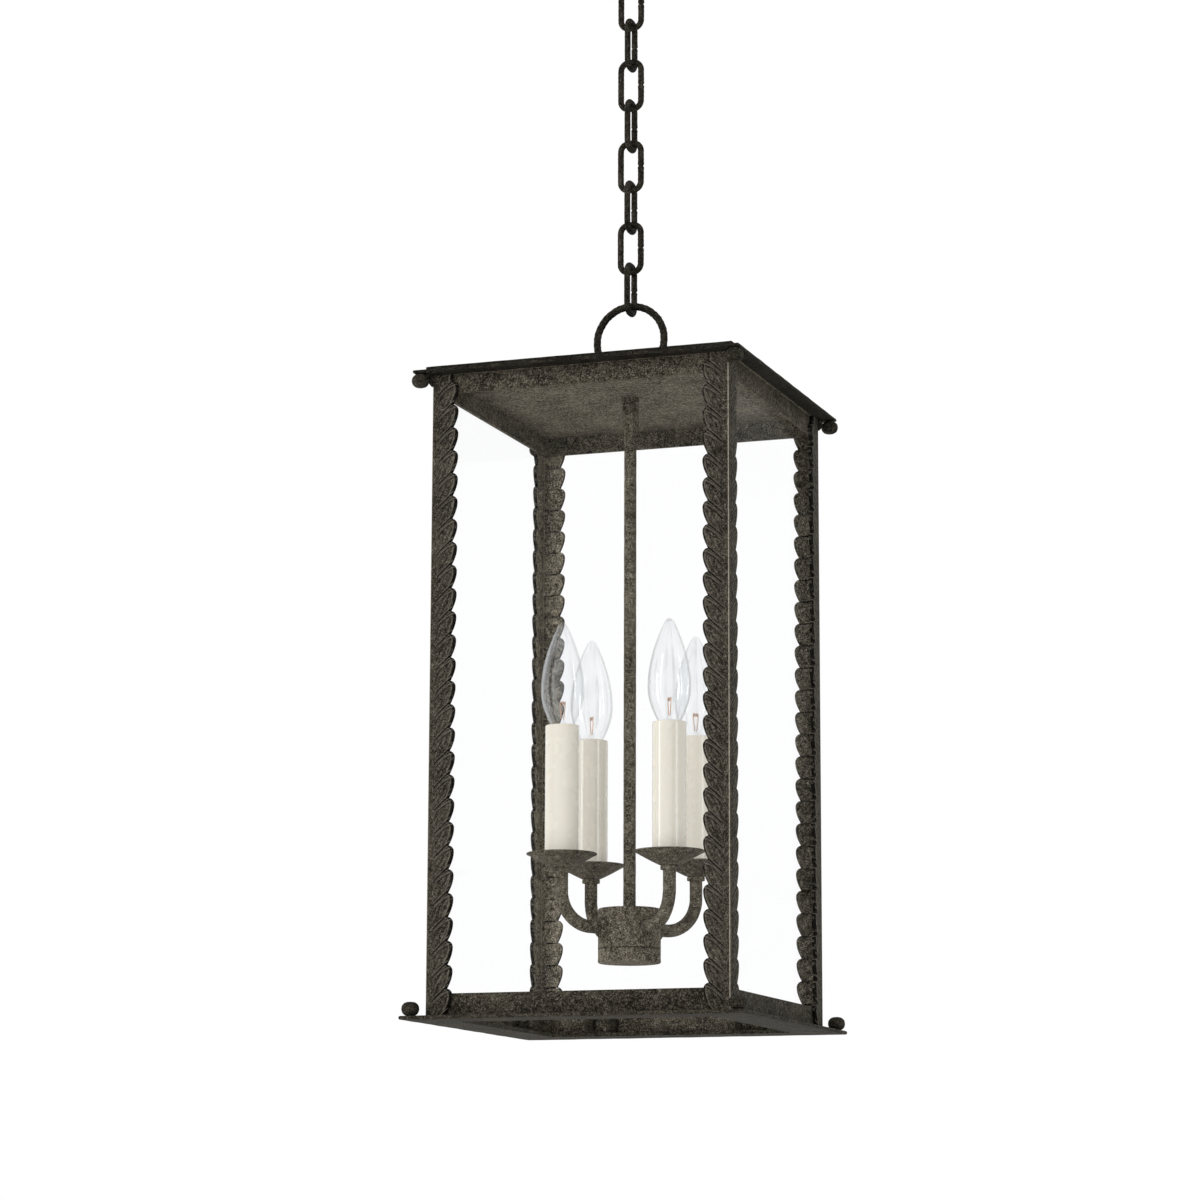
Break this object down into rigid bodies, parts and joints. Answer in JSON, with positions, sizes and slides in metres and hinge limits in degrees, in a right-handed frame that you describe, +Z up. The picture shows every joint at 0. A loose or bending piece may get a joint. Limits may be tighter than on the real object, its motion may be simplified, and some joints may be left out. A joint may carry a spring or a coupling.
{
  "type": "hanging lantern",
  "caption": "Square hanging lantern with leaf-edged corner posts, glass sides and an inner candle cluster, hung by a chain from a round ceiling canopy.",
  "frame": {"origin": "centre of the ceiling canopy in the plane of the ceiling, at the middle of the mounting strap's screw slots", "axes": "+Z up towards the ceiling, -Y out of the wide front of the case, +X to the right seen from the front"},
  "size_m": [0.279, 0.279, 0.9265],
  "materials": {
    "aged_iron": "textured aged iron with fine pale speckle",
    "zinc_plate": "zinc plated",
    "pane_glass": "clear",
    "bulb_glass": "clear",
    "lamp_brass": "plain",
    "filament_metal": "fine wire",
    "candle_ivory": "smooth ivory",
    "socket_black": "moulded phenolic",
    "wire_cover": "plain"
  },
  "bodies": {
    "ceiling_mount": {"mounting_strap": "zinc_plate", "ceiling_nipple": "zinc_plate", "nipple_locknut": "zinc_plate", "canopy": "aged_iron", "canopy_nut": "aged_iron", "canopy_loop": "aged_iron"},
    "link_1": {"chain_link_1": "aged_iron"},
    "link_2": {"chain_link_2": "aged_iron"},
    "link_3": {"chain_link_3": "aged_iron"},
    "link_4": {"chain_link_4": "aged_iron"},
    "link_5": {"chain_link_5": "aged_iron"},
    "link_6": {"chain_link_6": "aged_iron"},
    "link_7": {"chain_link_7": "aged_iron"},
    "link_8": {"chain_link_8": "aged_iron"},
    "lantern": {"roof_ring": "aged_iron", "roof_cap": "aged_iron", "roof_plate": "aged_iron", "roof_tabs": "aged_iron", "roof_balls": "aged_iron", "top_frame": "aged_iron", "corner_post_fl": "aged_iron", "corner_post_fr": "aged_iron", "corner_post_br": "aged_iron", "corner_post_bl": "aged_iron", "pane_front": "pane_glass", "pane_right": "pane_glass", "pane_back": "pane_glass", "pane_left": "pane_glass", "bottom_frame": "aged_iron", "base_plate": "aged_iron", "base_balls": "aged_iron", "pane_clips": "aged_iron", "clip_screws": "aged_iron", "stem": "aged_iron", "stem_collar": "aged_iron", "hub_body": "aged_iron", "hub_nut": "zinc_plate", "hub_cap": "aged_iron", "arm_1": "aged_iron", "arm_2": "aged_iron", "arm_3": "aged_iron", "arm_4": "aged_iron", "arm_collars": "aged_iron", "drip_pan_1": "aged_iron", "drip_pan_2": "aged_iron", "drip_pan_3": "aged_iron", "drip_pan_4": "aged_iron", "candle_sleeve_1": "candle_ivory", "candle_sleeve_2": "candle_ivory", "candle_sleeve_3": "candle_ivory", "candle_sleeve_4": "candle_ivory", "sockets": "socket_black", "bulb_glass_1": "bulb_glass", "bulb_glass_2": "bulb_glass", "bulb_glass_3": "bulb_glass", "bulb_glass_4": "bulb_glass", "bulb_bases": "lamp_brass", "bulb_filaments": "filament_metal", "wiring": "wire_cover"}
  },
  "joints": [
    {"name": "link_1_swing", "type": "hinge", "parent": "ceiling_mount", "child": "link_1", "pos_m": [0, 0, -0.0635], "axis": [0, 1, 0], "range_deg": [-25, 25]},
    {"name": "link_2_swing", "type": "hinge", "parent": "link_1", "child": "link_2", "pos_m": [0, 0, -0.0985], "axis": [1, 0, 0], "range_deg": [-25, 25]},
    {"name": "link_3_swing", "type": "hinge", "parent": "link_2", "child": "link_3", "pos_m": [0, 0, -0.1335], "axis": [0, 1, 0], "range_deg": [-25, 25]},
    {"name": "link_4_swing", "type": "hinge", "parent": "link_3", "child": "link_4", "pos_m": [0, 0, -0.1685], "axis": [1, 0, 0], "range_deg": [-25, 25]},
    {"name": "link_5_swing", "type": "hinge", "parent": "link_4", "child": "link_5", "pos_m": [0, 0, -0.2035], "axis": [0, 1, 0], "range_deg": [-25, 25]},
    {"name": "link_6_swing", "type": "hinge", "parent": "link_5", "child": "link_6", "pos_m": [0, 0, -0.2385], "axis": [1, 0, 0], "range_deg": [-25, 25]},
    {"name": "link_7_swing", "type": "hinge", "parent": "link_6", "child": "link_7", "pos_m": [0, 0, -0.2735], "axis": [0, 1, 0], "range_deg": [-25, 25]},
    {"name": "link_8_swing", "type": "hinge", "parent": "link_7", "child": "link_8", "pos_m": [0, 0, -0.3085], "axis": [1, 0, 0], "range_deg": [-25, 25]},
    {"name": "lantern_swing", "type": "hinge", "parent": "link_8", "child": "lantern", "pos_m": [0, 0, -0.3435], "axis": [0, 1, 0], "range_deg": [-25, 25]}
  ]
}
